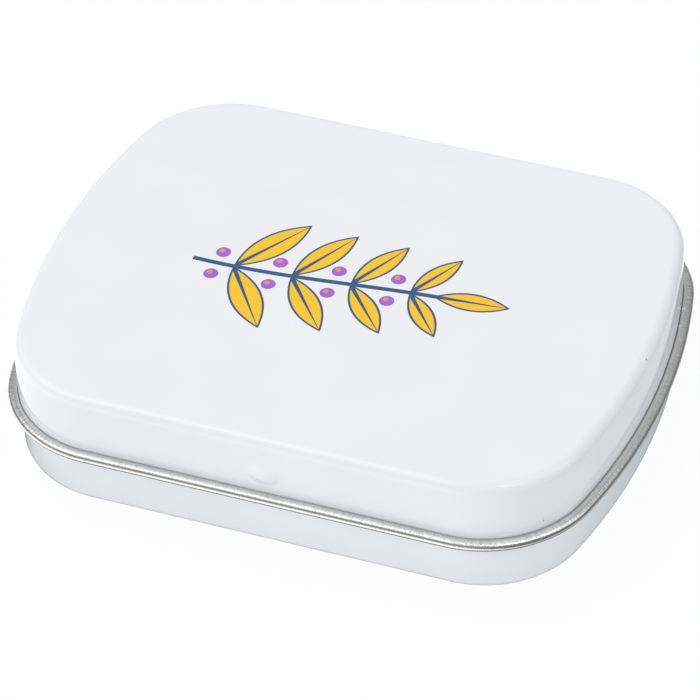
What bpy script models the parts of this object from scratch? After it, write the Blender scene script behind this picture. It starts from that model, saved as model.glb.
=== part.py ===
"""A pocket mint tin: a pressed tinplate base, and a lid that swings on two tongues at the back.

Metres, +Z up. The origin is the middle of the flat bottom. The front faces -Y and the hinge is at +Y.
Both pieces are one sheet each, so each is a section swept round the plan of the walls, then thickened.
In a section, a point's first number is its distance outward from the outside of the lid's skirt.
"""

import math

import bmesh
import bpy

# Closed tin, over the lid's rolled bead
LENGTH = 0.0603
WIDTH = 0.0476
HEIGHT = 0.0127

# Sheet, and the plan of the walls: straight long sides, bowed ends, round corners
SHEET = 0.00024
END_RADIUS = 0.063
CORNER_RADIUS = 0.0102

# Lid: shoulder round the top panel, and the edge rolled outward into a bead with its raw edge at the skirt
SHOULDER_RADIUS = 0.0010
BEAD_REACH = 0.00102
BEAD_HEIGHT = 0.00096
BEAD_LEVEL = 0.0063
BEAD_TURN = math.radians(300)

# Base: rounded foot, wall a little inside the skirt's outside, step under the bead, neck inside the lid,
# rolled rim
WALL_INSET = 0.0002
FOOT_RADIUS = 0.0014
STEP_RADIUS = 0.0004
RIM_RADIUS = 0.00047
RIM_TURN = math.radians(260)

# Clearances between the lid and the base
NECK_CLEARANCE = 0.00045
STEP_CLEARANCE = 0.00035
RIM_CLEARANCE = 0.00035

# Hinge: tongues cut from the neck, passed through slots in the skirt and curled round the bead
TONGUE_WIDTH = 0.0054
TONGUE_SPACING = 0.0240
TONGUE_BEND = 0.00047
TONGUE_ROOT = 0.0006
HOOK_CLEARANCE = 0.00015
HOOK_TURN = math.radians(180)
SLOT_SIDE = 0.0003
SLOT_ABOVE = 0.00025
SLOT_BOTTOM = 0.00025

# Snap pips, pressed outward at the middle of the front
PIP_LEVEL = 0.0089
PIP_LENGTH = 0.0034
PIP_TALL = 0.0024
PIP_RISE = 0.00032
BASE_PIP_RISE = 0.00022

# How finely round shapes are divided, how far cutters reach past what they cut, and what counts as one place
CORNER_STEPS = 10
END_STEPS = 6
BEND_STEPS = 4
CURL_STEPS = 10
HOOK_STEPS = 10
PIP_SEGMENTS = 16
OVERCUT = 0.00006
SAME_PLACE = 0.000001

# Places that follow from the sizes
HALF_LENGTH = LENGTH / 2 - BEAD_REACH
HALF_WIDTH = WIDTH / 2 - BEAD_REACH
HALF_SHEET = SHEET / 2
BEAD_HALF_REACH = BEAD_REACH / 2
BEAD_CENTRE = BEAD_HALF_REACH - HALF_SHEET
HINGE_Y = HALF_WIDTH + BEAD_CENTRE
STEP_LEVEL = BEAD_LEVEL - BEAD_HEIGHT / 2 - STEP_CLEARANCE
NECK_OFFSET = -(SHEET + NECK_CLEARANCE + HALF_SHEET)
NECK_Y = HALF_WIDTH + NECK_OFFSET
RIM_LEVEL = HEIGHT - SHEET - RIM_CLEARANCE
HOOK_RADIUS = BEAD_HALF_REACH + HALF_SHEET + HOOK_CLEARANCE + HALF_SHEET
TONGUE_LEVEL = BEAD_LEVEL + HOOK_RADIUS
BEND_RADIUS = TONGUE_BEND - HALF_SHEET
WINDOW_BOTTOM = TONGUE_LEVEL - BEND_RADIUS


def arc(x, z, radius, start, turn, steps, rise=None):
    """Points after the first along an arc, from an angle in degrees through a turn in radians."""
    tall = radius if rise is None else rise
    angles = [math.radians(start) + turn * i / steps for i in range(1, steps + 1)]
    return [(x + radius * math.cos(angle), z + tall * math.sin(angle)) for angle in angles]


def plan_outline():
    """The outside of the skirt seen from above, anticlockwise: tangent arcs and straight long sides."""
    end_x = HALF_LENGTH - END_RADIUS
    corner_y = HALF_WIDTH - CORNER_RADIUS
    corner_x = end_x + math.sqrt((END_RADIUS - CORNER_RADIUS) ** 2 - corner_y**2)
    meet = math.atan2(corner_y, corner_x - end_x)
    half_end = arc(end_x, 0, END_RADIUS, 0, meet, END_STEPS // 2)
    corner = arc(corner_x, corner_y, CORNER_RADIUS, math.degrees(meet), math.pi / 2 - meet, CORNER_STEPS)
    quarter = half_end + corner
    back = quarter + [(-x, y) for x, y in reversed(quarter)]
    front = [(-x, -y) for x, y in back]
    return [(HALF_LENGTH, 0)] + back + [(-HALF_LENGTH, 0)] + front


def lid_section():
    """Middle of the lid's sheet: edge of the top panel, shoulder, skirt, then the bead."""
    shoulder = arc(
        -SHOULDER_RADIUS, HEIGHT - SHOULDER_RADIUS, SHOULDER_RADIUS - HALF_SHEET, 90, -math.pi / 2, BEND_STEPS
    )
    skirt_end = [(-HALF_SHEET, BEAD_LEVEL)]
    bead_half_height = BEAD_HEIGHT / 2 - HALF_SHEET
    bead = arc(BEAD_CENTRE, BEAD_LEVEL, BEAD_HALF_REACH, 180, BEAD_TURN, CURL_STEPS, bead_half_height)
    return [(-SHOULDER_RADIUS, HEIGHT - HALF_SHEET)] + shoulder + skirt_end + bead


def base_section():
    """Middle of the base's sheet: edge of the bottom, foot, wall, step, neck, then the rolled rim."""
    foot_centre = -WALL_INSET - FOOT_RADIUS
    foot = arc(foot_centre, FOOT_RADIUS, FOOT_RADIUS - HALF_SHEET, -90, math.pi / 2, BEND_STEPS)
    step_centre = -WALL_INSET - STEP_RADIUS
    wall_end = [(-WALL_INSET - HALF_SHEET, STEP_LEVEL - STEP_RADIUS)]
    step = arc(step_centre, STEP_LEVEL - STEP_RADIUS, STEP_RADIUS - HALF_SHEET, 0, math.pi / 2, BEND_STEPS)
    fillet = step_centre - NECK_OFFSET
    turn_up = arc(step_centre, STEP_LEVEL - HALF_SHEET + fillet, fillet, 270, -math.pi / 2, BEND_STEPS)
    rim_radius = RIM_RADIUS - HALF_SHEET
    rim_centre = RIM_LEVEL - RIM_RADIUS
    neck_end = [(NECK_OFFSET, rim_centre)]
    rim = arc(NECK_OFFSET - rim_radius, rim_centre, rim_radius, 0, RIM_TURN, CURL_STEPS)
    return [(foot_centre, HALF_SHEET)] + foot + wall_end + step + turn_up + neck_end + rim


def tongue_section():
    """Middle of a tongue, as (y, z): up the neck, out over the bead and round it."""
    bend = arc(NECK_Y + BEND_RADIUS, WINDOW_BOTTOM, BEND_RADIUS, 180, -math.pi / 2, BEND_STEPS)
    over_bead = [(HINGE_Y, TONGUE_LEVEL)]
    hook = arc(HINGE_Y, BEAD_LEVEL, HOOK_RADIUS, 90, -HOOK_TURN, HOOK_STEPS)
    root = [(NECK_Y, WINDOW_BOTTOM - TONGUE_ROOT), (NECK_Y, WINDOW_BOTTOM)]
    return root + bend + over_bead + hook


def window_top():
    """The window is as tall as the tongue that was cut from it is long."""
    run = HINGE_Y - NECK_Y - BEND_RADIUS
    return WINDOW_BOTTOM + BEND_RADIUS * math.pi / 2 + run + HOOK_RADIUS * HOOK_TURN


def clear_scene():
    for old in list(bpy.data.objects):
        bpy.data.objects.remove(old, do_unlink=True)


def new_collection(name, helpers=False):
    made = bpy.data.collections.new(name)
    bpy.context.scene.collection.children.link(made)
    made.hide_render = helpers
    return made


def new_material(name, color, roughness, metallic):
    made = bpy.data.materials.new(name)
    made.use_nodes = True
    shader = made.node_tree.nodes["Principled BSDF"]
    shader.inputs["Base Color"].default_value = (*color, 1)
    shader.inputs["Roughness"].default_value = roughness
    shader.inputs["Metallic"].default_value = metallic
    made.diffuse_color = (*color, 1)
    return made


def new_object(name, data, collection, helper=False):
    made = bpy.data.objects.new(name, data)
    collection.objects.link(made)
    if helper:
        made.hide_render = True
        made.display_type = "WIRE"
    return made


def poly_curve(name, points, closed, collection):
    data = bpy.data.curves.new(name, "CURVE")
    data.dimensions = "3D"
    line = data.splines.new("POLY")
    line.points.add(len(points) - 1)
    for spot, (x, y) in zip(line.points, points):
        spot.co = (x, y, 0, 1)
    line.use_cyclic_u = closed
    return new_object(name, data, collection, helper=True)


def mesh_of(curve, name):
    """The mesh that a curve makes. The curve is removed."""
    graph = bpy.context.evaluated_depsgraph_get()
    mesh = bpy.data.meshes.new_from_object(curve.evaluated_get(graph))
    mesh.name = name
    bpy.data.objects.remove(curve, do_unlink=True)
    return mesh


def swept_band(name, section, collection):
    """The section carried round the plan: an open band, still without its flat panel."""
    path = poly_curve(name + "_path", plan_outline(), True, collection)
    profile = poly_curve(name + "_section", section, False, collection)
    path.data.bevel_mode = "OBJECT"
    path.data.bevel_object = profile
    bpy.context.view_layer.update()
    mesh = mesh_of(path, name)
    bpy.data.objects.remove(profile, do_unlink=True)
    return mesh


def close_panel(mesh, level):
    """Fills the band's open loop at this level with one flat face."""
    shape = bmesh.new()
    shape.from_mesh(mesh)
    loop = [
        edge
        for edge in shape.edges
        if edge.is_boundary and all(abs(vert.co.z - level) < SAME_PLACE for vert in edge.verts)
    ]
    bmesh.ops.edgeloop_fill(shape, edges=loop)
    bmesh.ops.recalc_face_normals(shape, faces=shape.faces)
    shape.to_mesh(mesh)
    shape.free()


def thicken(piece):
    """Gives an open surface the sheet's thickness, half to each side."""
    sheet = piece.modifiers.new("sheet", "SOLIDIFY")
    sheet.thickness = SHEET
    sheet.offset = 0
    sheet.use_even_offset = True


def pressed_sheet(name, section, material, collection):
    mesh = swept_band(name, section, collection)
    close_panel(mesh, section[0][1])
    mesh.materials.append(material)
    mesh.shade_smooth()
    piece = new_object(name, mesh, collection)
    thicken(piece)
    return piece


def boolean(piece, operation, other):
    change = piece.modifiers.new(other.name, "BOOLEAN")
    change.operation = operation
    change.object = other


def box_cutter(name, low, high, collection):
    """A box between two corners."""
    shape = bmesh.new()
    bmesh.ops.create_cube(shape, size=1)
    for vert in shape.verts:
        vert.co = [lo + (side + 0.5) * (hi - lo) for lo, hi, side in zip(low, high, vert.co)]
    mesh = bpy.data.meshes.new(name)
    shape.to_mesh(mesh)
    shape.free()
    return new_object(name, mesh, collection, helper=True)


def pip_solid(name, plane_y, half_length, half_tall, rise, collection, whole=False):
    """An oval dome that stands out of the plane at this Y towards the front, or the whole oval."""
    shape = bmesh.new()
    bmesh.ops.create_uvsphere(shape, u_segments=PIP_SEGMENTS, v_segments=PIP_SEGMENTS // 2, radius=1)
    bmesh.ops.scale(shape, verts=shape.verts, vec=(half_length, rise, half_tall))
    if not whole:
        everything = list(shape.verts) + list(shape.edges) + list(shape.faces)
        bmesh.ops.bisect_plane(
            shape, geom=everything, plane_co=(0, 0, 0), plane_no=(0, 1, 0), clear_outer=True, dist=SAME_PLACE
        )
        rim = [edge for edge in shape.edges if edge.is_boundary]
        bmesh.ops.edgeloop_fill(shape, edges=rim)
    bmesh.ops.recalc_face_normals(shape, faces=shape.faces)
    bmesh.ops.translate(shape, verts=shape.verts, vec=(0, plane_y, PIP_LEVEL))
    mesh = bpy.data.meshes.new(name)
    shape.to_mesh(mesh)
    shape.free()
    return new_object(name, mesh, collection, helper=True)


def press_pip(piece, offset, rise, collection):
    """A pip pressed out of the flat front of a wall whose outside lies at this offset."""
    outside = -(HALF_WIDTH + offset)
    dome = pip_solid(
        piece.name + "_pip", outside + HALF_SHEET, PIP_LENGTH / 2, PIP_TALL / 2, rise + HALF_SHEET, collection
    )
    hollow = pip_solid(
        piece.name + "_pip_hollow",
        outside + SHEET,
        PIP_LENGTH / 2 - SHEET,
        PIP_TALL / 2 - SHEET,
        rise,
        collection,
        whole=True,
    )
    boolean(piece, "UNION", dome)
    boolean(piece, "DIFFERENCE", hollow)


def cut_slot(lid, name, x, collection):
    """The slot in the skirt that a tongue passes through, from beside the bead to above the tongue."""
    reach = TONGUE_WIDTH / 2 + SLOT_SIDE
    low = (x - reach, HALF_WIDTH - SHEET - NECK_CLEARANCE, BEAD_LEVEL + SLOT_BOTTOM)
    high = (x + reach, HALF_WIDTH + OVERCUT, TONGUE_LEVEL + HALF_SHEET + SLOT_ABOVE)
    slot = box_cutter(name, low, high, collection)
    slot.parent = lid
    boolean(lid, "DIFFERENCE", slot)


def cut_window(base, name, x, collection):
    """The window left in the neck where a tongue was cut from it."""
    half_depth = HALF_SHEET + OVERCUT
    low = (x - TONGUE_WIDTH / 2, NECK_Y - half_depth, WINDOW_BOTTOM)
    high = (x + TONGUE_WIDTH / 2, NECK_Y + half_depth, window_top())
    boolean(base, "DIFFERENCE", box_cutter(name, low, high, collection))


def add_tongue(base, name, x, collection):
    """One tongue: its section drawn in the YZ plane and drawn out along X."""
    ribbon = poly_curve(name + "_section", tongue_section(), False, collection)
    ribbon.data.extrude = TONGUE_WIDTH / 2
    ribbon.rotation_euler = (math.pi / 2, 0, math.pi / 2)
    ribbon.location.x = x
    bpy.context.view_layer.update()
    placed = ribbon.matrix_world.copy()
    tongue = new_object(name, mesh_of(ribbon, name), collection, helper=True)
    tongue.matrix_world = placed
    thicken(tongue)
    boolean(base, "UNION", tongue)


def build_lid(parts, helpers):
    enamel = new_material("lid_white_enamel", (0.86, 0.87, 0.88), 0.22, 0.0)
    lid = pressed_sheet("lid", lid_section(), enamel, parts)
    pivot = new_object("lid_hinge_axis", None, parts)
    pivot.empty_display_size = TONGUE_WIDTH
    pivot.location = (0, HINGE_Y, BEAD_LEVEL)
    lid.parent = pivot
    lid.location = (0, -HINGE_Y, -BEAD_LEVEL)
    for side, x in (("left", -TONGUE_SPACING / 2), ("right", TONGUE_SPACING / 2)):
        cut_slot(lid, "slot_" + side, x, helpers)
    press_pip(lid, 0, PIP_RISE, helpers)
    return lid


def build_base(parts, helpers):
    enamel = new_material("base_white_enamel", (0.84, 0.85, 0.86), 0.24, 0.0)
    base = pressed_sheet("base", base_section(), enamel, parts)
    for side, x in (("left", -TONGUE_SPACING / 2), ("right", TONGUE_SPACING / 2)):
        cut_window(base, "window_" + side, x, helpers)
        add_tongue(base, "tongue_" + side, x, helpers)
    press_pip(base, NECK_OFFSET + HALF_SHEET, BASE_PIP_RISE, helpers)
    return base


def main():
    clear_scene()
    parts = new_collection("mint_tin")
    helpers = new_collection("cutters", helpers=True)
    build_base(parts, helpers)
    build_lid(parts, helpers)


main()
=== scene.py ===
"""Looks of the mint tin: a white enamelled lid and base of pressed tinplate, with a bare rolled bead.
The lid carries a generic printed sprig.

Metres, in the frame of the CAD. Each piece is one sheet: the rows of its section carried round the plan
of the walls. In a section, a point's first number is its distance outward from the outside of the skirt.
"""

import math

import bmesh
import bpy
from mathutils import Matrix, Vector


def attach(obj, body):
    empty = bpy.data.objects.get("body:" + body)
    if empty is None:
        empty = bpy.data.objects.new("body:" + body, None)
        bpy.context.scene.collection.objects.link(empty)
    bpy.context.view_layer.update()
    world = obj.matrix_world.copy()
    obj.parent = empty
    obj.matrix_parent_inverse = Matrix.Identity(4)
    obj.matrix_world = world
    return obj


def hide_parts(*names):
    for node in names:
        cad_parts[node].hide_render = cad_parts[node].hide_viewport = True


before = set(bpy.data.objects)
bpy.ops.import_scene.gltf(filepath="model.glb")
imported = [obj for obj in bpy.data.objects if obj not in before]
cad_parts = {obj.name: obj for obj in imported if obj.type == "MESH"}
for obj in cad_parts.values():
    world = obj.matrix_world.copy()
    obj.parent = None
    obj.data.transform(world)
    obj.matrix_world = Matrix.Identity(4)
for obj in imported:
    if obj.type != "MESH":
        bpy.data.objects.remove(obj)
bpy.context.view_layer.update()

# Sizes of the solids, as in the part's source. Only the bead turns further here, so that its edge closes
# the line at the skirt
LENGTH = 0.0603
WIDTH = 0.0476
HEIGHT = 0.0127
SHEET = 0.00024
END_RADIUS = 0.063
CORNER_RADIUS = 0.0102
SHOULDER_RADIUS = 0.0010
BEAD_REACH = 0.00102
BEAD_HEIGHT = 0.00096
BEAD_LEVEL = 0.0063
BEAD_TURN = math.radians(304)
WALL_INSET = 0.0002
FOOT_RADIUS = 0.0014
STEP_RADIUS = 0.0004
RIM_RADIUS = 0.00047
RIM_TURN = math.radians(260)
NECK_CLEARANCE = 0.00045
STEP_CLEARANCE = 0.00035
RIM_CLEARANCE = 0.00035
TONGUE_WIDTH = 0.0054
TONGUE_SPACING = 0.0240
TONGUE_BEND = 0.00047
HOOK_CLEARANCE = 0.00015
HOOK_TURN = math.radians(180)
SLOT_SIDE = 0.0003
SLOT_ABOVE = 0.00025
SLOT_BOTTOM = 0.00025
PIP_LEVEL = 0.0089
PIP_LENGTH = 0.0034
PIP_TALL = 0.0024
LID_PIP_RISE = 0.00032
BASE_PIP_RISE = 0.00022

# Places that follow from the sizes
HALF_LENGTH = LENGTH / 2 - BEAD_REACH
HALF_WIDTH = WIDTH / 2 - BEAD_REACH
HALF_SHEET = SHEET / 2
BEAD_HALF_REACH = BEAD_REACH / 2
BEAD_HALF_HEIGHT = BEAD_HEIGHT / 2 - HALF_SHEET
BEAD_CENTRE = BEAD_HALF_REACH - HALF_SHEET
PANEL_EDGE = 0.0010
SHOULDER_RUN = (SHOULDER_RADIUS - HALF_SHEET) * math.pi / 2
BEAD_RUN = PANEL_EDGE + SHOULDER_RUN + HEIGHT - SHOULDER_RADIUS - BEAD_LEVEL
HINGE_Y = HALF_WIDTH + BEAD_CENTRE
STEP_LEVEL = BEAD_LEVEL - BEAD_HEIGHT / 2 - STEP_CLEARANCE
NECK_OFFSET = -(SHEET + NECK_CLEARANCE + HALF_SHEET)
NECK_Y = HALF_WIDTH + NECK_OFFSET
RIM_LEVEL = HEIGHT - SHEET - RIM_CLEARANCE
HOOK_RADIUS = BEAD_HALF_REACH + HALF_SHEET + HOOK_CLEARANCE + HALF_SHEET
TONGUE_LEVEL = BEAD_LEVEL + HOOK_RADIUS
TONGUE_HALF = TONGUE_WIDTH / 2
TONGUE_PLACES = (-TONGUE_SPACING / 2, TONGUE_SPACING / 2)
BEND_RADIUS = TONGUE_BEND - HALF_SHEET
TONGUE_RUN = HINGE_Y - NECK_Y - BEND_RADIUS
WINDOW_LOW = TONGUE_LEVEL - BEND_RADIUS
WINDOW_HIGH = WINDOW_LOW + BEND_RADIUS * math.pi / 2 + TONGUE_RUN + HOOK_RADIUS * HOOK_TURN
SLOT_HALF = TONGUE_HALF + SLOT_SIDE
SLOT_LOW = BEAD_LEVEL + SLOT_BOTTOM
SLOT_HIGH = TONGUE_LEVEL + HALF_SHEET + SLOT_ABOVE
PIP_HALF_LENGTH = PIP_LENGTH / 2
PIP_HALF_TALL = PIP_TALL / 2

# How finely the sheets are divided
END_STEPS = 14
CORNER_STEPS = 32
SIDE_STEP = 0.0012
SIDE_END = 0.0172
WALL_STEP = 0.0006
SKIRT_STEP = 0.0005
HOOK_STEP = 0.0003
SHOULDER_STEPS = 14
BEAD_STEPS = 40
FOOT_STEPS = 12
BEND_STEPS = 8
ROLL_STEPS = 24
PANEL_RINGS = (PANEL_EDGE, 0.0004, 0)
PANEL_ACROSS = -0.01
MIDDLE_ACROSS = -0.02
PIP_STEP = 0.00012
RING_SHARES = (0.05, 0.15, 0.3, 0.45, 0.6, 0.75, 0.88, 0.96)
EDGE_ROUND = 0.00004
SHARP = math.radians(38)
RAW_EDGE = math.radians(60)

# Camera that was fitted to the photograph: degrees, metres, and focal length on a 36 mm sensor
CAMERA_AZIMUTH = math.radians(22.115)
CAMERA_ELEVATION = math.radians(41.055)
CAMERA_ROLL = math.radians(-2.446)
CAMERA_YAW = math.radians(-0.049)
CAMERA_PITCH = math.radians(-0.163)
CAMERA_DISTANCE = 0.438301
CAMERA_LENS = 242.52
SENSOR = 36.0
CLIP = (0.01, 20.0)

# Brightness of the studio round the tin, where 1 is white, as a polished surface mirrors it
BOX_LEVEL = 1.35
CORE_LEVEL = 2.5
FRONT_LEVEL = 0.22
REAR_LEVEL = 0.52
REAR_LOW = 0.24
ZENITH_LEVEL = 0.75
LOW_LEVEL = 0.75
# The floor as gloss sees it: painted light near the tin, painted shade far to the right, and a painted shadow
# at the tin's foot
FLOOR_BRIGHT = 1.34
FLOOR_DIM = 0.16
CONTACT_DARK = 0.08

# Softboxes and their bright cores on a ceiling one unit up: low, high and softness along X, then along Y
LEFT_BOX = ((-1.40, -0.16, 0.12), (-0.60, 0.34, 0.12))
RIGHT_BOX = ((0.16, 2.60, 0.12), (-0.38, 0.32, 0.12))
RIGHT_BOX_SKEW = 0.21
LEFT_CORE = ((-0.70, -0.29, 0.05), (-0.26, -0.13, 0.04))
RIGHT_CORE = ((0.30, 0.75, 0.05), (-0.42, -0.29, 0.03))
RIGHT_CORE_SHARE = 2.0

# Walls of the studio, by a direction's height, by how far it points to the rear, and towards the low light
FRONT_WALL = (0.42, 0.94)
REAR_WALL = (0.05, 0.65)
REAR_TURN = (-0.35, 0.55)
LOW_LIGHT_SIDE = (-0.574, -0.819)
LOW_LIGHT_SPREAD = (0.4, 1.0)
LOW_LIGHT_HEIGHT = (0.0, 0.45)
LOWEST_CEILING = 0.05
STUDIO_TINT = (0.985, 0.990, 1.0, 1.0)
WHITE = (1.0, 1.0, 1.0, 1.0)

# Brightness of the soft light that falls on the tin from all round, and of the floor
FILL_LEVEL = 1.13
FILL_RIGHT = 0.75
FILL_LOW = 0.87
FILL_ACROSS = (-0.25, 0.28)
FILL_HEIGHT = (0.0, 0.8)
FLOOR_FILL = 1.15
FLOOR_TINT = (0.95, 0.98, 1.0)
FLOOR_WHITENESS = 0.92
FLOOR_COLOR = (0.9, 0.9, 0.9, 1.0)
FLOOR_HALF = 3.0
FLOOR_DROP = 0.00002
# Where the floor's painted shadow round the foot, and its painted fall from bright to dim towards the right,
# begin and end
CONTACT_NEAR = 0.0002
CONTACT_FAR = 0.0048
BRIGHT_UNTIL = 0.014
DIM_FROM = 0.050

# The one lamp: degrees of azimuth and elevation, metres, and brightness
LAMP_AZIMUTH = -52
LAMP_ELEVATION = 74
LAMP_DISTANCE = 0.6
LAMP_SIZE = (0.22, 0.17)
LAMP_RADIANCE = 4.2

# Core of the plan, from which distances to the tin's foot are taken
CORE_X = HALF_LENGTH - CORNER_RADIUS
CORE_Y = HALF_WIDTH - CORNER_RADIUS
CORE_END_RADIUS = END_RADIUS - CORNER_RADIUS

# Enamel and bare tinplate. A speck or chip has its place and radius, and a speck its colour
LID_WHITE = (0.850, 0.858, 0.872)
BASE_WHITE = (0.840, 0.850, 0.866)
ENAMEL_IOR = 1.5
ENAMEL_TONE_NOISE = (140.0, 3.0)
ENAMEL_TONE_LIMITS = (0.35, 0.65)
ENAMEL_SHADE = 0.985
ENAMEL_GLOSS_NOISE = (700.0, 3.0)
ENAMEL_ROUGHNESS = 0.04
ENAMEL_ROUGHNESS_RANGE = 0.05
WAVE_NOISE = (70.0, 1.0)
WAVE_DEPTH = 0.00012
PEEL_NOISE = (2600.0, 2.0)
PEEL_STRENGTH = 0.25
PEEL_DEPTH = 0.000012
SPECK_NOISE = (9000.0, 2.0)
SPECK_EDGE = 0.5
SPECK_EDGE_RANGE = 0.9
SPECKS = (
    ((0.02884, -0.00105, 0.01240), 0.00010, (0.25, 0.25, 0.27)),
    ((0.02517, -0.01919, 0.00758), 0.00009, (0.30, 0.30, 0.32)),
)
CHIPS = (((0.02799, 0.01298, 0.00676), 0.00017), ((0.02840, 0.01045, 0.00674), 0.00016))
TIN = (0.88, 0.88, 0.865)
# Colour of the painted shade in the seam under the bead
SEAM_SHADE = (0.06, 0.06, 0.06)
CHIP_WHITE = (0.9, 0.9, 0.9)
INSIDE_ROUGHNESS = 0.34
BEAD_ROUGHNESS = 0.13
# Marks on tinplate: stretch and detail of the fine ones, stretch of the broad ones, and depth
BEAD_MARKS = ((8200.0, 1500.0, 1.0), 2.0, (500.0, 400.0, 1.0), 0.00004)
FLAT_MARKS = ((160.0, 5200.0, 5200.0), 3.0, (60.0, 500.0, 500.0), 0.000008)
BROAD_DETAIL = 2.0
MARK_ROUGHNESS = 0.6
MARK_GLOSS = 0.12
TIN_DULL = 0.64
WEAR_BROAD = 0.5
WEAR_FINE = 1.6
WEAR_START = -0.55
# Painted shade: a dark, dull strip on the bead's underside, where it meets the base, taken along the section
# from the start of the bead
SEAM_SHADE_START = 0.00103
SEAM_SHADE_END = 0.00133
SEAM_SHADE_SOFT = 0.00003

# Inks and sizes of the print
GOLD_INK = (0.93, 0.56, 0.02, 1.0)
SLATE_INK = (0.035, 0.10, 0.22, 1.0)
VIOLET_INK = (0.36, 0.13, 0.70, 1.0)
ORANGE_INK = (0.80, 0.30, 0.06, 1.0)
INK_SOFT = 0.00003
OUTLINE = 0.00022
VEIN_HALF = 0.00022
STEM_REACH = 0.0085
STEM_RISE = 0.0010
STEM_MIDDLE = -0.0035
STEM_HALF_LENGTH = 0.0118
STEM_HALF = 0.00028
LEAF_PAIRS = 4
LEAF_START = 0.0040
LEAF_SPACING = 0.0056
LEAF_LENGTH = 0.0092
LEAF_SHRINK = 0.09
LEAF_ANGLE = math.radians(56)
LEAF_FULLNESS = 0.17
TIP_OVERLAP = 0.0006
TIP_SHARE = 0.8
BERRY_BACK = 0.0016
BERRY_OFFSET = 0.0016
BERRY_RADIUS = 0.00072
SHINE_SHIFT = 0.25
SHINE_SHARE = 0.4


def spaced(low, high, step):
    """Evenly spaced numbers over a stretch, both ends included, no further apart than the step."""
    count = max(1, math.ceil(abs(high - low) / step - 1e-9))
    return [low + (high - low) * i / count for i in range(count + 1)]


def arc(x, z, radius, start, turn, steps, rise=None):
    """Points after the first along an arc, from an angle in degrees through a turn in radians."""
    tall = radius if rise is None else rise
    angles = [math.radians(start) + turn * i / steps for i in range(1, steps + 1)]
    return [(x + radius * math.cos(angle), z + tall * math.sin(angle)) for angle in angles]


def plan_columns(back_stops, front_stops):
    """Columns round the outside of the skirt, anticlockwise from the +X end: (x, y, normal x, normal y)."""
    end_x = HALF_LENGTH - END_RADIUS
    corner_y = HALF_WIDTH - CORNER_RADIUS
    corner_x = end_x + math.sqrt((END_RADIUS - CORNER_RADIUS) ** 2 - corner_y**2)
    meet = math.atan2(corner_y, corner_x - end_x)
    quarter = []
    for i in range(END_STEPS + 1):
        c, s = math.cos(meet * i / END_STEPS), math.sin(meet * i / END_STEPS)
        quarter.append((end_x + END_RADIUS * c, END_RADIUS * s, c, s))
    for i in range(1, CORNER_STEPS + 1):
        angle = meet + (math.pi / 2 - meet) * i / CORNER_STEPS
        c, s = math.cos(angle), math.sin(angle)
        quarter.append((corner_x + CORNER_RADIUS * c, corner_y + CORNER_RADIUS * s, c, s))
    back = [(x, HALF_WIDTH, 0.0, 1.0) for x in sorted(back_stops, reverse=True)]
    front = [(x, -HALF_WIDTH, 0.0, -1.0) for x in sorted(front_stops)]
    far_left = [(-x, y, -nx, ny) for x, y, nx, ny in reversed(quarter)]
    near_left = [(-x, -y, -nx, -ny) for x, y, nx, ny in quarter[1:]]
    near_right = [(x, -y, nx, -ny) for x, y, nx, ny in reversed(quarter[1:])]
    return quarter + back + far_left + near_left + front + near_right


def side_stops(fixed, dense_half=0.0):
    """Places between the corners of a straight side, with fixed ones among them and a dense middle."""
    marks = sorted({-SIDE_END, SIDE_END, *fixed, -dense_half, dense_half})
    stops = set()
    for low, high in zip(marks, marks[1:]):
        step = PIP_STEP if max(abs(low), abs(high)) <= dense_half else SIDE_STEP
        stops.update(round(value, 7) for value in spaced(low, high, step))
    return sorted(stops)


def pip_rise(x, z, rise):
    """How far a pressed pip stands out at this place on a flat wall."""
    r = (x / PIP_HALF_LENGTH) ** 2 + ((z - PIP_LEVEL) / PIP_HALF_TALL) ** 2
    return rise * (1 - r) ** 1.5 * (1 + 0.5 * r) if r < 1 else 0.0


def lid_section():
    """Middle of the lid's sheet, downward: panel's edge, shoulder, skirt, bead."""
    top = HEIGHT - HALF_SHEET
    panel = [(-SHOULDER_RADIUS - apart, top) for apart in PANEL_RINGS]
    shoulder_centre = (-SHOULDER_RADIUS, HEIGHT - SHOULDER_RADIUS)
    shoulder = arc(*shoulder_centre, SHOULDER_RADIUS - HALF_SHEET, 90, -math.pi / 2, SHOULDER_STEPS)
    skirt = [(-HALF_SHEET, z) for z in wall_rows(HEIGHT - SHOULDER_RADIUS, BEAD_LEVEL, (SLOT_HIGH, SLOT_LOW))]
    bead = arc(BEAD_CENTRE, BEAD_LEVEL, BEAD_HALF_REACH, 180, BEAD_TURN, BEAD_STEPS, BEAD_HALF_HEIGHT)
    return panel + shoulder + skirt[1:] + bead


def wall_rows(start, end, fixed):
    """Levels down or up a wall, with fixed ones among them and a dense stretch over the pip."""
    pip = (PIP_LEVEL - PIP_HALF_TALL - PIP_STEP, PIP_LEVEL + PIP_HALF_TALL + PIP_STEP)
    marks = sorted({start, end, *fixed, *pip})
    levels = set()
    for low, high in zip(marks, marks[1:]):
        inside = pip[0] <= low and high <= pip[1]
        levels.update(round(value, 7) for value in spaced(low, high, PIP_STEP if inside else SKIRT_STEP))
    return sorted(levels, reverse=start > end)


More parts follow.
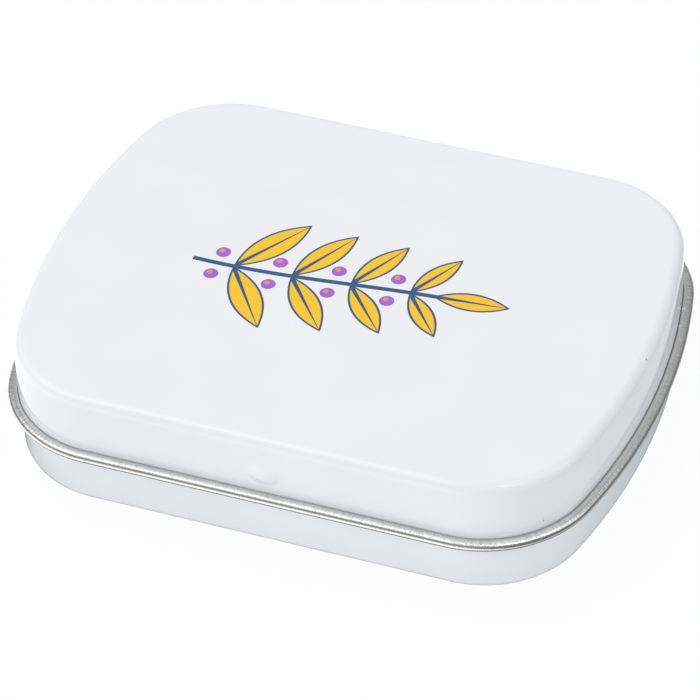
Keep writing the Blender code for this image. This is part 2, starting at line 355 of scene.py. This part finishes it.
def base_section():
    """Middle of the base's sheet, upward: bottom's edge, foot, wall, step, neck, rolled rim."""
    foot_centre = -WALL_INSET - FOOT_RADIUS
    bottom = [(foot_centre - apart, HALF_SHEET) for apart in PANEL_RINGS]
    foot = arc(foot_centre, FOOT_RADIUS, FOOT_RADIUS - HALF_SHEET, -90, math.pi / 2, FOOT_STEPS)
    wall_levels = spaced(FOOT_RADIUS, STEP_LEVEL - STEP_RADIUS, WALL_STEP)
    wall = [(-WALL_INSET - HALF_SHEET, z) for z in wall_levels][1:]
    step_centre = -WALL_INSET - STEP_RADIUS
    step = arc(step_centre, STEP_LEVEL - STEP_RADIUS, STEP_RADIUS - HALF_SHEET, 0, math.pi / 2, BEND_STEPS)
    fillet = step_centre - NECK_OFFSET
    turn_up = arc(step_centre, STEP_LEVEL - HALF_SHEET + fillet, fillet, 270, -math.pi / 2, BEND_STEPS)
    rim_radius = RIM_RADIUS - HALF_SHEET
    rim_centre = RIM_LEVEL - RIM_RADIUS
    neck_start = STEP_LEVEL - HALF_SHEET + fillet
    neck = [(NECK_OFFSET, z) for z in wall_rows(neck_start, rim_centre, (WINDOW_LOW, WINDOW_HIGH))][1:]
    rim = arc(NECK_OFFSET - rim_radius, rim_centre, rim_radius, 0, RIM_TURN, ROLL_STEPS)
    return bottom + foot + wall + step + turn_up + neck + rim


def tongue_path():
    """Middle of a tongue after the neck, as (y, z): out over the bead and round it."""
    bend = arc(NECK_Y + BEND_RADIUS, WINDOW_LOW, BEND_RADIUS, 180, -math.pi / 2, BEND_STEPS)
    run = [(y, TONGUE_LEVEL) for y in spaced(NECK_Y + BEND_RADIUS, HINGE_Y, HOOK_STEP)][1:]
    hook = arc(HINGE_Y, BEAD_LEVEL, HOOK_RADIUS, 90, -HOOK_TURN, ROLL_STEPS)
    return bend + run + hook


def same(a, b):
    return abs(a - b) < 1e-6


class Sheet:
    """A pressed sheet: rows of a section round the plan, a panel that closes the first row, openings."""

    def __init__(self, columns, section, upward, pip):
        self.columns = columns
        self.section = section
        self.upward = upward
        self.points = []
        self.faces = []
        self.marks = []
        self.rows = []
        self.across = []
        self.along = [0.0]
        for a, b in zip(columns, columns[1:] + columns[:1]):
            self.along.append(self.along[-1] + math.dist(a[:2], b[:2]))
        length = 0.0
        for j, (offset, z) in enumerate(section):
            length += math.dist(section[j - 1], section[j]) if j else 0.0
            row = []
            for x, y, nx, ny in columns:
                out = offset
                if ny == -1.0 and pip:
                    out += pip_rise(x, z, pip)
                row.append(self.point((x + nx * out, y + ny * out, z), length))
            self.rows.append(row)

    def point(self, place, across):
        self.points.append(place)
        self.across.append(across)
        return len(self.points) - 1

    def face(self, corners, mark, alongs):
        """One face, its front towards the outside of the tin, with its material and its places along."""
        if self.upward:
            corners, alongs = corners[::-1], alongs[::-1]
        self.faces.append(corners)
        self.marks.append((mark, alongs))

    def quad(self, low, high, i, mark):
        """The face between two rows, from this column to the next."""
        k = (i + 1) % len(self.columns)
        start, end = self.along[i], self.along[i + 1]
        self.face((low[i], high[i], high[k], low[k]), mark, (start, start, end, end))

    def wall(self, mark_of, skip):
        """All the faces between rows, except those that an opening takes."""
        count = len(self.columns)
        for j in range(len(self.rows) - 1):
            for i in range(count):
                if not skip(i, (i + 1) % count, j):
                    self.quad(self.rows[j], self.rows[j + 1], i, mark_of(j))

    def panel(self, mark):
        """Rings inside the first row, then a fan round the middle."""
        first = self.rows[0]
        level = self.section[0][1]
        inner = []
        for share in RING_SHARES:
            spots = [(self.points[p][0] * share, self.points[p][1] * share, level) for p in first]
            inner.append([self.point(spot, PANEL_ACROSS) for spot in spots])
        rings = inner + [first]
        count = len(first)
        for low, high in zip(rings, rings[1:]):
            for i in range(count):
                self.quad(low, high, i, mark)
        middle = self.point((0.0, 0.0, level), MIDDLE_ACROSS)
        for i in range(count):
            self.face((middle, rings[0][i], rings[0][(i + 1) % count]), mark, (0.0, 0.0, 0.0))

    def back_span(self, i, k, places, half):
        """Whether the stretch between two columns lies on the back, within one of these openings."""
        a, b = self.columns[i], self.columns[k]
        if a[3] != 1.0 or b[3] != 1.0:
            return False
        middle = (a[0] + b[0]) / 2
        return any(abs(middle - place) < half for place in places)

    def tongues(self, row, path, mark):
        """Strips that go on from this row of the neck along a path of (y, z)."""
        count = len(self.columns)
        spans = [i for i in range(count) if self.back_span(i, (i + 1) % count, TONGUE_PLACES, TONGUE_HALF)]
        before = self.rows[row]
        length = self.across[before[0]]
        last = (NECK_Y, self.section[row][1])
        for y, z in path:
            length += math.dist(last, (y, z))
            last = (y, z)
            line = {}
            for i in spans:
                for c in (i, (i + 1) % count):
                    if c not in line:
                        line[c] = self.point((self.columns[c][0], y, z), length)
            for i in spans:
                self.quad(before, line, i, mark)
            before = line

    def mesh(self, name, materials):
        """The sheet with its thickness, raw edges slightly rounded, and a map of metres along and across."""
        data = bpy.data.meshes.new(name + "_sheet")
        data.from_pydata(self.points, [], self.faces)
        for material in materials:
            data.materials.append(material)
        places = data.uv_layers.new(name="sheet_metres")
        for face, (mark, alongs) in zip(data.polygons, self.marks):
            face.material_index = mark
            face.use_smooth = True
            for loop, along in zip(face.loop_indices, alongs):
                places.uv[loop].vector = (along, self.across[data.loops[loop].vertex_index])
        piece = bpy.data.objects.new(name, data)
        bpy.context.scene.collection.objects.link(piece)
        thick = piece.modifiers.new("thickness", "SOLIDIFY")
        thick.thickness = SHEET
        thick.offset = 0
        thick.use_even_offset = True
        thick.use_quality_normals = True
        thick.material_offset = 1
        thick.material_offset_rim = 1
        bpy.context.view_layer.update()
        graph = bpy.context.evaluated_depsgraph_get()
        solid = bpy.data.meshes.new_from_object(piece.evaluated_get(graph))
        piece.modifiers.clear()
        piece.data = solid
        bpy.data.meshes.remove(data)
        solid.name = name
        round_edges(solid)
        return piece


def round_edges(mesh):
    """Takes the sharpness off the sheet's raw edges, and keeps flat faces flat beside them."""
    shape = bmesh.new()
    shape.from_mesh(mesh)
    raw = [edge for edge in shape.edges if edge.is_manifold and edge.calc_face_angle() > RAW_EDGE]
    bmesh.ops.bevel(
        shape, geom=raw, offset=EDGE_ROUND, segments=2, profile=0.5, affect="EDGES", clamp_overlap=True
    )
    for face in shape.faces:
        face.smooth = True
    shape.to_mesh(mesh)
    shape.free()
    mesh.set_sharp_from_angle(angle=SHARP)


class Nodes:
    """A node tree that is filled by short calls."""

    def __init__(self, tree):
        self.tree = tree
        tree.nodes.clear()

    def add(self, kind, **settings):
        node = self.tree.nodes.new("ShaderNode" + kind)
        for key, value in settings.items():
            setattr(node, key, value)
        return node

    def feed(self, socket, value):
        if isinstance(value, bpy.types.NodeSocket):
            self.tree.links.new(value, socket)
        else:
            socket.default_value = value

    def math(self, operation, *values, clamp=False):
        node = self.add("Math", operation=operation, use_clamp=clamp)
        for socket, value in zip(node.inputs, values):
            self.feed(socket, value)
        return node.outputs[0]

    def vector(self, operation, *values, out=0):
        node = self.add("VectorMath", operation=operation)
        for socket, value in zip(node.inputs, values):
            self.feed(socket, value)
        return node.outputs[out]

    def ramp(self, value, low, high, start=0.0, end=1.0):
        """Smooth change from start to end as value goes from low to high."""
        node = self.add("MapRange", interpolation_type="SMOOTHSTEP")
        for socket, given in zip(node.inputs, (value, low, high, start, end)):
            self.feed(socket, given)
        return node.outputs[0]

    def noise(self, vector, scale, detail=2.0, roughness=0.5):
        node = self.add("TexNoise")
        self.feed(node.inputs["Vector"], vector)
        self.feed(node.inputs["Scale"], scale)
        self.feed(node.inputs["Detail"], detail)
        self.feed(node.inputs["Roughness"], roughness)
        return node.outputs[0]

    def blend(self, factor, first, second):
        node = self.add("Mix", data_type="RGBA")
        self.feed(node.inputs["Factor"], factor)
        self.feed(node.inputs["A"], first)
        self.feed(node.inputs["B"], second)
        return node.outputs["Result"]

    def bump(self, height, strength, distance, normal=None):
        node = self.add("Bump")
        self.feed(node.inputs["Height"], height)
        self.feed(node.inputs["Strength"], strength)
        self.feed(node.inputs["Distance"], distance)
        if normal is not None:
            self.feed(node.inputs["Normal"], normal)
        return node.outputs[0]


def new_material(name):
    made = bpy.data.materials.new(name)
    made.use_nodes = True
    graph = Nodes(made.node_tree)
    output = graph.add("OutputMaterial")
    shader = graph.add("BsdfPrincipled")
    graph.feed(output.inputs["Surface"], shader.outputs[0])
    return made, graph, shader


def stem_y(x):
    """The printed stem's place across the lid, at a place along it."""
    return STEM_RISE * math.sin(x / STEM_REACH)


def spot_cover(graph, place, centre, radius):
    """1 inside a printed dot."""
    apart = graph.vector("DISTANCE", place, centre, out=1)
    return graph.ramp(apart, radius, radius - INK_SOFT)


def leaf_covers(graph, place, root, angle, length, half_width):
    """How far a printed leaf's outline and its filling cover a place. The filling leaves the vein free."""
    c, s = math.cos(angle), math.sin(angle)
    from_root = graph.vector("SUBTRACT", place, root)
    along = graph.vector("DOT_PRODUCT", from_root, (c / length, s / length, 0.0), out=1)
    aside = graph.math("ABSOLUTE", graph.vector("DOT_PRODUCT", from_root, (-s, c, 0.0), out=1))
    bulge = graph.math("MULTIPLY", along, graph.math("SUBTRACT", 1.0, along))
    inside = graph.math("MULTIPLY_ADD", bulge, 4 * half_width, graph.math("MULTIPLY", aside, -1.0))
    outline = graph.ramp(inside, 0.0, INK_SOFT)
    past_vein = graph.math("MULTIPLY_ADD", graph.math("SUBTRACT", 1.0, along), -VEIN_HALF, aside)
    filling = graph.math("MINIMUM", graph.math("SUBTRACT", inside, OUTLINE), past_vein)
    return outline, graph.ramp(filling, 0.0, INK_SOFT)


def sprig(graph, place, ground):
    """A generic printed sprig on the flat of the lid: a stem, leaves in pairs and at its tip, and berries."""
    split = graph.add("SeparateXYZ")
    graph.feed(split.inputs[0], place)
    x, y, z = split.outputs
    flat_place = graph.vector("MULTIPLY", place, (1.0, 1.0, 0.0))
    stem = graph.math("MULTIPLY", graph.math("SINE", graph.math("DIVIDE", x, STEM_REACH)), STEM_RISE)
    off_stem = graph.math("ABSOLUTE", graph.math("SUBTRACT", y, stem))
    from_middle = graph.math("ABSOLUTE", graph.math("SUBTRACT", x, STEM_MIDDLE))
    on_stem = graph.math(
        "MULTIPLY",
        graph.ramp(off_stem, STEM_HALF, STEM_HALF - INK_SOFT),
        graph.math("LESS_THAN", from_middle, STEM_HALF_LENGTH),
    )
    printed = graph.blend(on_stem, ground, SLATE_INK)
    leaves = [(STEM_MIDDLE + STEM_HALF_LENGTH - TIP_OVERLAP, 0.0, LEAF_LENGTH * TIP_SHARE)]
    berries = []
    for i in range(LEAF_PAIRS):
        at = STEM_MIDDLE - STEM_HALF_LENGTH + LEAF_START + LEAF_SPACING * i
        for side in (-1, 1):
            leaves.append((at, side * LEAF_ANGLE, LEAF_LENGTH * (1 - LEAF_SHRINK * i)))
            berries.append((at - BERRY_BACK, side * BERRY_OFFSET))
    for at, angle, length in leaves:
        lean = math.atan(STEM_RISE / STEM_REACH * math.cos(at / STEM_REACH))
        root = (at, stem_y(at), 0.0)
        outline, filling = leaf_covers(graph, flat_place, root, angle + lean, length, length * LEAF_FULLNESS)
        printed = graph.blend(outline, printed, SLATE_INK)
        printed = graph.blend(filling, printed, GOLD_INK)
    for at, aside in berries:
        centre = (at, stem_y(at) + aside, 0.0)
        printed = graph.blend(spot_cover(graph, flat_place, centre, BERRY_RADIUS), printed, VIOLET_INK)
        shine = (centre[0] - BERRY_RADIUS * SHINE_SHIFT, centre[1] + BERRY_RADIUS * SHINE_SHIFT, 0.0)
        shine_cover = spot_cover(graph, flat_place, shine, BERRY_RADIUS * SHINE_SHARE)
        printed = graph.blend(shine_cover, printed, ORANGE_INK)
    on_top = graph.math("GREATER_THAN", z, HEIGHT - HALF_SHEET)
    return graph.blend(on_top, ground, printed)


def enamel_material(name, color, specks, printed=False):
    """White stoving enamel: glossy, faintly uneven, with specks at given places and perhaps the print."""
    made, graph, shader = new_material(name)
    place = graph.add("TexCoord").outputs["Object"]
    tone = graph.noise(place, *ENAMEL_TONE_NOISE)
    shade = tuple(channel * ENAMEL_SHADE for channel in color)
    painted = graph.blend(graph.ramp(tone, *ENAMEL_TONE_LIMITS), (*shade, 1.0), (*color, 1.0))
    if printed:
        painted = sprig(graph, place, painted)
    for spot, radius, dark in specks:
        apart = graph.vector("DISTANCE", place, spot, out=1)
        worn = graph.noise(place, *SPECK_NOISE)
        edge = graph.math("MULTIPLY_ADD", worn, radius * SPECK_EDGE_RANGE, radius * SPECK_EDGE)
        cover = graph.math("LESS_THAN", apart, edge)
        painted = graph.blend(cover, painted, (*dark, 1.0))
    graph.feed(shader.inputs["Base Color"], painted)
    rough = graph.noise(place, *ENAMEL_GLOSS_NOISE)
    rough = graph.math("MULTIPLY_ADD", rough, ENAMEL_ROUGHNESS_RANGE, ENAMEL_ROUGHNESS)
    graph.feed(shader.inputs["Roughness"], rough)
    waves = graph.noise(place, *WAVE_NOISE)
    peel = graph.noise(place, *PEEL_NOISE)
    slow = graph.bump(waves, 1.0, WAVE_DEPTH)
    graph.feed(shader.inputs["Normal"], graph.bump(peel, PEEL_STRENGTH, PEEL_DEPTH, slow))
    shader.inputs["IOR"].default_value = ENAMEL_IOR
    return made


def tinplate_material(name, color, roughness, across_bead):
    """Bare tinplate: rolled grain along X on flat sheet, or fine marks drawn across the bead."""
    made, graph, shader = new_material(name)
    places = graph.add("TexCoord").outputs
    place = places["UV" if across_bead else "Object"]
    fine_stretch, fine_detail, broad_stretch, depth = BEAD_MARKS if across_bead else FLAT_MARKS
    fine = graph.noise(graph.vector("MULTIPLY", place, fine_stretch), 1.0, fine_detail, MARK_ROUGHNESS)
    broad = graph.noise(graph.vector("MULTIPLY", place, broad_stretch), 1.0, BROAD_DETAIL)
    dull = tuple(channel * TIN_DULL for channel in color)
    wear = graph.math("MULTIPLY_ADD", fine, WEAR_FINE, WEAR_START)
    wear = graph.math("MULTIPLY_ADD", broad, WEAR_BROAD, wear, clamp=True)
    tone = graph.blend(wear, (*dull, 1.0), (*color, 1.0))
    metal = 1.0
    if across_bead:
        split = graph.add("SeparateXYZ")
        graph.feed(split.inputs[0], place)
        # Painted shade: the bead's underside is made dark and not metal over a thin strip, in place of the
        # shadow in the seam above the base
        painted_seam_shade = within(graph, split.outputs[1], BEAD_RUN + SEAM_SHADE_START, BEAD_RUN + SEAM_SHADE_END, SEAM_SHADE_SOFT)
        tone = graph.blend(painted_seam_shade, tone, (*SEAM_SHADE, 1.0))
        metal = graph.math("SUBTRACT", 1.0, painted_seam_shade)
        for spot, radius in CHIPS:
            cover = graph.math("LESS_THAN", graph.vector("DISTANCE", places["Object"], spot, out=1), radius)
            tone = graph.blend(cover, tone, (*CHIP_WHITE, 1.0))
            metal = graph.math("MULTIPLY", graph.math("SUBTRACT", 1.0, cover), metal)
    graph.feed(shader.inputs["Base Color"], tone)
    graph.feed(shader.inputs["Metallic"], metal)
    rough = graph.math("MULTIPLY_ADD", fine, MARK_GLOSS, roughness - MARK_GLOSS / 2)
    graph.feed(shader.inputs["Roughness"], rough)
    graph.feed(shader.inputs["Normal"], graph.bump(fine, 1.0, depth))
    return made


def floor_material():
    """A white floor with the tin's soft shadow, clear from beneath. To gloss it shows painted light and
    shade: a painted shadow round the tin's foot, bright floor, and dim floor far to the right.
    """
    made = bpy.data.materials.new("floor_white")
    made.use_nodes = True
    graph = Nodes(made.node_tree)
    output = graph.add("OutputMaterial")
    plain = graph.add("BsdfDiffuse")
    plain.inputs["Color"].default_value = FLOOR_COLOR
    glow = graph.add("Emission")
    path = graph.add("LightPath").outputs
    place = graph.add("NewGeometry").outputs["Position"]
    split = graph.add("SeparateXYZ")
    graph.feed(split.inputs[0], place)
    from_middle = graph.math("MINIMUM", graph.math("ABSOLUTE", split.outputs[1]), CORE_Y)
    bow = graph.math("MULTIPLY", graph.math("MULTIPLY", from_middle, from_middle), 0.5 / CORE_END_RADIUS)
    bowed = graph.add("CombineXYZ")
    graph.feed(bowed.inputs[0], bow)
    past_core = graph.vector("SUBTRACT", graph.vector("ABSOLUTE", place), (CORE_X, CORE_Y, 0.0))
    past_core = graph.vector("MAXIMUM", graph.vector("ADD", past_core, bowed.outputs[0]), (0.0, 0.0, 0.0))
    apart = graph.vector("LENGTH", past_core, out=1)
    # Painted shadow round the foot and painted fall of light to the right, seen only in gloss
    painted_foot_shadow = graph.ramp(apart, CORNER_RADIUS + CONTACT_NEAR, CORNER_RADIUS + CONTACT_FAR, CONTACT_DARK, 1.0)
    across = graph.ramp(split.outputs[0], BRIGHT_UNTIL, DIM_FROM, FLOOR_BRIGHT, FLOOR_DIM)
    mirrored = graph.math("MULTIPLY_ADD", painted_foot_shadow, across, -1.0)
    graph.feed(glow.inputs["Strength"], graph.math("MULTIPLY_ADD", path["Is Glossy Ray"], mirrored, 1.0))
    cool = (*(channel * FLOOR_FILL for channel in FLOOR_TINT), 1.0)
    graph.feed(glow.inputs["Color"], graph.blend(path["Is Diffuse Ray"], WHITE, cool))
    unseen = graph.math("MAXIMUM", path["Is Diffuse Ray"], path["Is Glossy Ray"])
    unseen = graph.math("MAXIMUM", unseen, path["Is Transmission Ray"])
    shown = graph.math("MULTIPLY", path["Is Camera Ray"], FLOOR_WHITENESS)
    mix = graph.add("MixShader")
    graph.feed(mix.inputs[0], graph.math("MAXIMUM", shown, unseen))
    graph.feed(mix.inputs[1], plain.outputs[0])
    graph.feed(mix.inputs[2], glow.outputs[0])
    clear = graph.add("BsdfTransparent")
    sided = graph.add("MixShader")
    graph.feed(sided.inputs[0], graph.add("NewGeometry").outputs["Backfacing"])
    graph.feed(sided.inputs[1], mix.outputs[0])
    graph.feed(sided.inputs[2], clear.outputs[0])
    graph.feed(output.inputs["Surface"], sided.outputs[0])
    return made


def add_floor():
    shape = bmesh.new()
    bmesh.ops.create_grid(shape, x_segments=1, y_segments=1, size=FLOOR_HALF)
    mesh = bpy.data.meshes.new("floor")
    shape.to_mesh(mesh)
    shape.free()
    mesh.materials.append(floor_material())
    floor = bpy.data.objects.new("floor", mesh)
    floor.location.z = -FLOOR_DROP
    bpy.context.scene.collection.objects.link(floor)


def within(graph, value, low, high, soft):
    """1 where the value lies between two limits, fading to 0 over a soft edge."""
    return graph.math(
        "MULTIPLY",
        graph.ramp(value, low - soft, low + soft),
        graph.ramp(value, high - soft, high + soft, 1.0, 0.0),
    )


def patch(graph, x, y, x_limits, y_limits):
    """1 inside a soft edged rectangle of the ceiling."""
    return graph.math("MULTIPLY", within(graph, x, *x_limits), within(graph, y, *y_limits))


def add_world():
    """A studio: two softboxes overhead, dark behind the camera, bright low at the left, white to see."""
    world = bpy.data.worlds.new("studio")
    bpy.context.scene.world = world
    world.use_nodes = True
    graph = Nodes(world.node_tree)
    output = graph.add("OutputWorld")
    direction = graph.add("TexCoord").outputs["Generated"]
    split = graph.add("SeparateXYZ")
    graph.feed(split.inputs[0], direction)
    x, y, z = split.outputs
    flat = graph.math("SQRT", graph.math("MULTIPLY_ADD", x, x, graph.math("MULTIPLY_ADD", y, y, 1e-6)))
    right, rear = graph.math("DIVIDE", x, flat), graph.math("DIVIDE", y, flat)

    front_wall = graph.ramp(z, *FRONT_WALL, FRONT_LEVEL, ZENITH_LEVEL)
    rear_wall = graph.ramp(z, *REAR_WALL, REAR_LOW, REAR_LEVEL)
    rearness = graph.ramp(rear, *REAR_TURN)
    walls = graph.math("MULTIPLY_ADD", rearness, graph.math("SUBTRACT", rear_wall, front_wall), front_wall)
    side_x, side_y = LOW_LIGHT_SIDE
    towards_light = graph.math("MULTIPLY_ADD", right, side_x, graph.math("MULTIPLY", rear, side_y))
    low_light = graph.ramp(towards_light, *LOW_LIGHT_SPREAD, 0.0, LOW_LEVEL)
    low_light = graph.math("MULTIPLY", low_light, graph.ramp(z, *LOW_LIGHT_HEIGHT, 1.0, 0.0))
    walls = graph.math("ADD", walls, low_light)

    above = graph.math("MAXIMUM", z, LOWEST_CEILING)
    ceiling_x, ceiling_y = graph.math("DIVIDE", x, above), graph.math("DIVIDE", y, above)
    skewed_y = graph.math("MULTIPLY_ADD", ceiling_x, -RIGHT_BOX_SKEW, ceiling_y)
    left_box = patch(graph, ceiling_x, ceiling_y, *LEFT_BOX)
    right_box = patch(graph, ceiling_x, skewed_y, *RIGHT_BOX)
    boxes = graph.math("MAXIMUM", left_box, right_box)
    level = graph.math("MULTIPLY_ADD", boxes, graph.math("SUBTRACT", BOX_LEVEL, walls), walls)
    left_core = patch(graph, ceiling_x, ceiling_y, *LEFT_CORE)
    right_core = patch(graph, ceiling_x, ceiling_y, *RIGHT_CORE)
    cores = graph.math("MULTIPLY_ADD", right_core, RIGHT_CORE_SHARE, left_core)
    level = graph.math("MULTIPLY_ADD", cores, CORE_LEVEL, level)

    fill_across = graph.ramp(x, *FILL_ACROSS, FILL_LEVEL, FILL_RIGHT)
    fill = graph.math("MULTIPLY", fill_across, graph.ramp(z, *FILL_HEIGHT, FILL_LOW, 1.0))
    path = graph.add("LightPath").outputs
    mirrored = graph.math("MULTIPLY_ADD", path["Is Glossy Ray"], graph.math("SUBTRACT", level, fill), fill)
    around = graph.add("Background")
    around.inputs["Color"].default_value = STUDIO_TINT
    graph.feed(around.inputs["Strength"], mirrored)
    white = graph.add("Background")
    white.inputs["Color"].default_value = WHITE
    mix = graph.add("MixShader")
    graph.feed(mix.inputs[0], graph.math("MAXIMUM", path["Is Camera Ray"], path["Is Transmission Ray"]))
    graph.feed(mix.inputs[1], around.outputs[0])
    graph.feed(mix.inputs[2], white.outputs[0])
    graph.feed(output.inputs["Surface"], mix.outputs[0])


def add_softbox(name, azimuth, elevation, distance, size, radiance):
    """A soft rectangular lamp that faces the tin. Its power follows from its brightness and its area."""
    light = bpy.data.lights.new(name, "AREA")
    light.shape = "RECTANGLE"
    light.size, light.size_y = size
    light.energy = radiance * size[0] * size[1] * math.pi
    lamp = bpy.data.objects.new(name, light)
    bpy.context.scene.collection.objects.link(lamp)
    az, el = math.radians(azimuth), math.radians(elevation)
    back = Vector((math.sin(az) * math.cos(el), -math.cos(az) * math.cos(el), math.sin(el)))
    lamp.location = back * distance
    lamp.rotation_mode = "QUATERNION"
    lamp.rotation_quaternion = (-back).to_track_quat("-Z", "Y")
    lamp.visible_camera = False
    lamp.visible_glossy = False


def add_camera():
    """The photograph's camera, from its fitted direction, distance and small turns."""
    el, az = CAMERA_ELEVATION, CAMERA_AZIMUTH
    back = Vector((math.sin(az) * math.cos(el), -math.cos(az) * math.cos(el), math.sin(el)))
    eye = Vector((0, 0, HEIGHT / 2)) + back * CAMERA_DISTANCE
    right = (-back).cross(Vector((0, 0, 1))).normalized()
    up = right.cross(-back)
    turned = -back * math.cos(CAMERA_YAW) + right * math.sin(CAMERA_YAW)
    ahead = (turned * math.cos(CAMERA_PITCH) + up * math.sin(CAMERA_PITCH)).normalized()
    level_right = ahead.cross(up).normalized()
    level_up = level_right.cross(ahead)
    c, s = math.cos(CAMERA_ROLL), math.sin(CAMERA_ROLL)
    axes = (level_right * c + level_up * s, level_up * c - level_right * s, -ahead)
    turn = Matrix(axes).transposed().to_4x4()
    turn.translation = eye
    data = bpy.data.cameras.new("camera")
    data.lens = CAMERA_LENS
    data.sensor_width = SENSOR
    data.clip_start, data.clip_end = CLIP
    camera = bpy.data.objects.new("camera", data)
    bpy.context.scene.collection.objects.link(camera)
    camera.matrix_world = turn
    bpy.context.scene.camera = camera


def build_lid(materials):
    """Lid: white outside, bare tinplate inside, so the rolled bead shows the bare side."""
    stops = [place + side * SLOT_HALF for place in TONGUE_PLACES for side in (-1, 1)]
    columns = plan_columns(side_stops(stops), side_stops((), PIP_HALF_LENGTH + PIP_STEP))
    section = lid_section()
    sheet = Sheet(columns, section, upward=False, pip=LID_PIP_RISE)
    bead_start = next(
        j for j, (offset, z) in enumerate(section) if same(z, BEAD_LEVEL) and same(offset, -HALF_SHEET)
    )

    def in_slot(i, k, j):
        middle = (section[j][1] + section[j + 1][1]) / 2
        on_skirt = same(section[j][0], -HALF_SHEET) and same(section[j + 1][0], -HALF_SHEET)
        at_slot = SLOT_LOW < middle < SLOT_HIGH
        return on_skirt and at_slot and sheet.back_span(i, k, TONGUE_PLACES, SLOT_HALF)

    sheet.panel(0)
    sheet.wall(lambda j: 2 if j >= bead_start else 0, in_slot)
    return sheet.mesh("lid_shell", materials)


def build_base(materials):
    """Base: white outside, bare tinplate inside. The tongues turn out of the neck, bare side out."""
    stops = [place + side * TONGUE_HALF for place in TONGUE_PLACES for side in (-1, 1)]
    columns = plan_columns(side_stops(stops), side_stops((), PIP_HALF_LENGTH + PIP_STEP))
    section = base_section()
    sheet = Sheet(columns, section, upward=True, pip=0.0)
    neck = [j for j, (offset, z) in enumerate(section) if same(offset, NECK_OFFSET)]
    for j in neck:
        for point in sheet.rows[j]:
            x, y, z = sheet.points[point]
            if y < 0 and same(y, -HALF_WIDTH - NECK_OFFSET):
                sheet.points[point] = (x, y - pip_rise(x, z, BASE_PIP_RISE), z)
    root = next(j for j in neck if same(section[j][1], WINDOW_LOW))

    def in_window(i, k, j):
        middle = (section[j][1] + section[j + 1][1]) / 2
        on_neck = same(section[j][0], NECK_OFFSET) and same(section[j + 1][0], NECK_OFFSET)
        at_window = WINDOW_LOW < middle < WINDOW_HIGH
        return on_neck and at_window and sheet.back_span(i, k, TONGUE_PLACES, TONGUE_HALF)

    sheet.panel(0)
    sheet.wall(lambda j: 0, in_window)
    sheet.tongues(root, tongue_path(), 0)
    return sheet.mesh("base_shell", materials)


add_camera()
lid_enamel = enamel_material("lid_enamel", LID_WHITE, SPECKS, printed=True)
base_enamel = enamel_material("base_enamel", BASE_WHITE, ())
inside_tin = tinplate_material("tinplate_inside", TIN, INSIDE_ROUGHNESS, across_bead=False)
bead_tin = tinplate_material("tinplate_bead", TIN, BEAD_ROUGHNESS, across_bead=True)

lid_shell = build_lid([lid_enamel, inside_tin, lid_enamel, bead_tin])
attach(lid_shell, "lid")
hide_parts("lid")

base_shell = build_base([base_enamel, inside_tin])
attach(base_shell, "base")
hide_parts("base")

add_floor()
add_world()
add_softbox("overhead", LAMP_AZIMUTH, LAMP_ELEVATION, LAMP_DISTANCE, LAMP_SIZE, LAMP_RADIANCE)

bpy.context.scene.view_settings.view_transform = "Standard"
